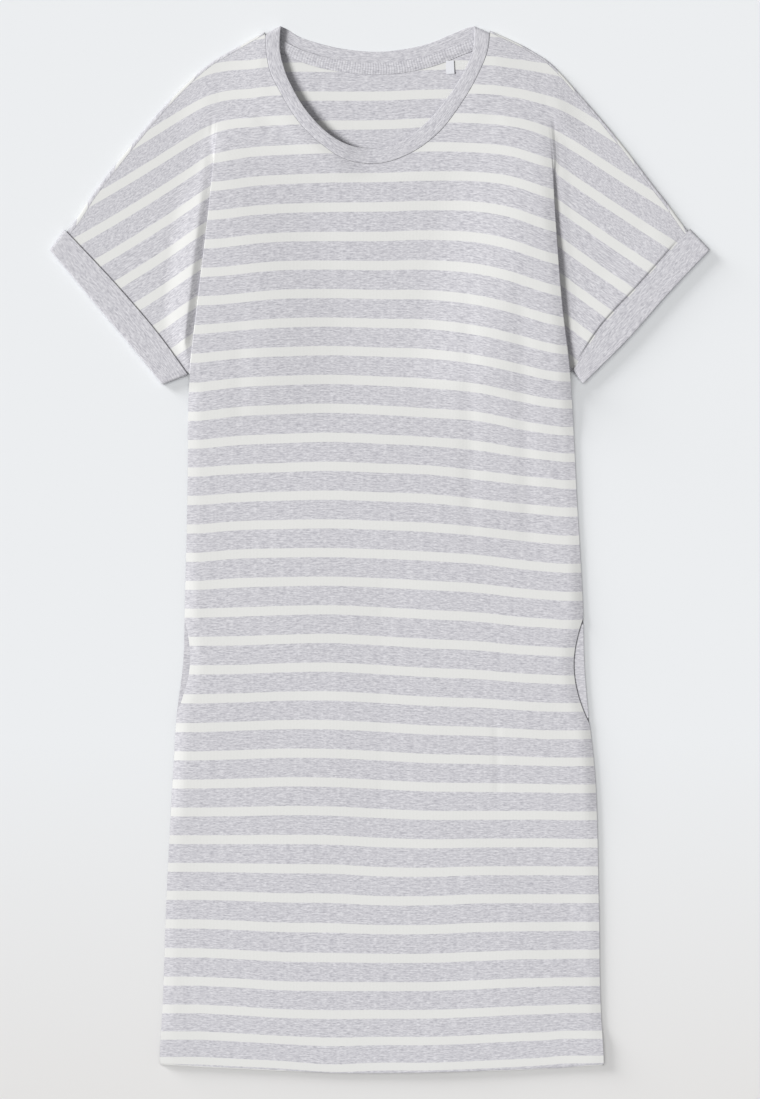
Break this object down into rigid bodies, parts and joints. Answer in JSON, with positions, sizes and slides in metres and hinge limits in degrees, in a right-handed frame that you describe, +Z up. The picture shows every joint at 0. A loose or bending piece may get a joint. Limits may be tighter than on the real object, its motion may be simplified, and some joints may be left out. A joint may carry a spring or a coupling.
{
  "type": "nightshirt",
  "caption": "Loose striped jersey nightshirt with short turned-up sleeves, a wide neckband and side-seam pockets, laid flat.",
  "frame": {"origin": "on the floor, under the middle of the laid-out nightshirt", "axes": "+Y from the hem to the neck, +X to the right as it is seen from above, +Z up from the floor to the front of the nightshirt"},
  "size_m": [0.692, 1.0995, 0.0134],
  "materials": {
    "striped_jersey": "matt cotton jersey, pale grey melange with white cross stripes",
    "melange_jersey": "matt cotton jersey, plain pale grey melange",
    "label_tape": "matt white woven tape, blank"
  },
  "bodies": {
    "root": {"front": "striped_jersey", "back": "striped_jersey", "neckband": "melange_jersey", "cuff_left": "melange_jersey", "cuff_right": "melange_jersey", "pocket_left": "melange_jersey", "pocket_right": "melange_jersey", "neck_tape": "melange_jersey", "label": "label_tape"}
  },
  "joints": []
}
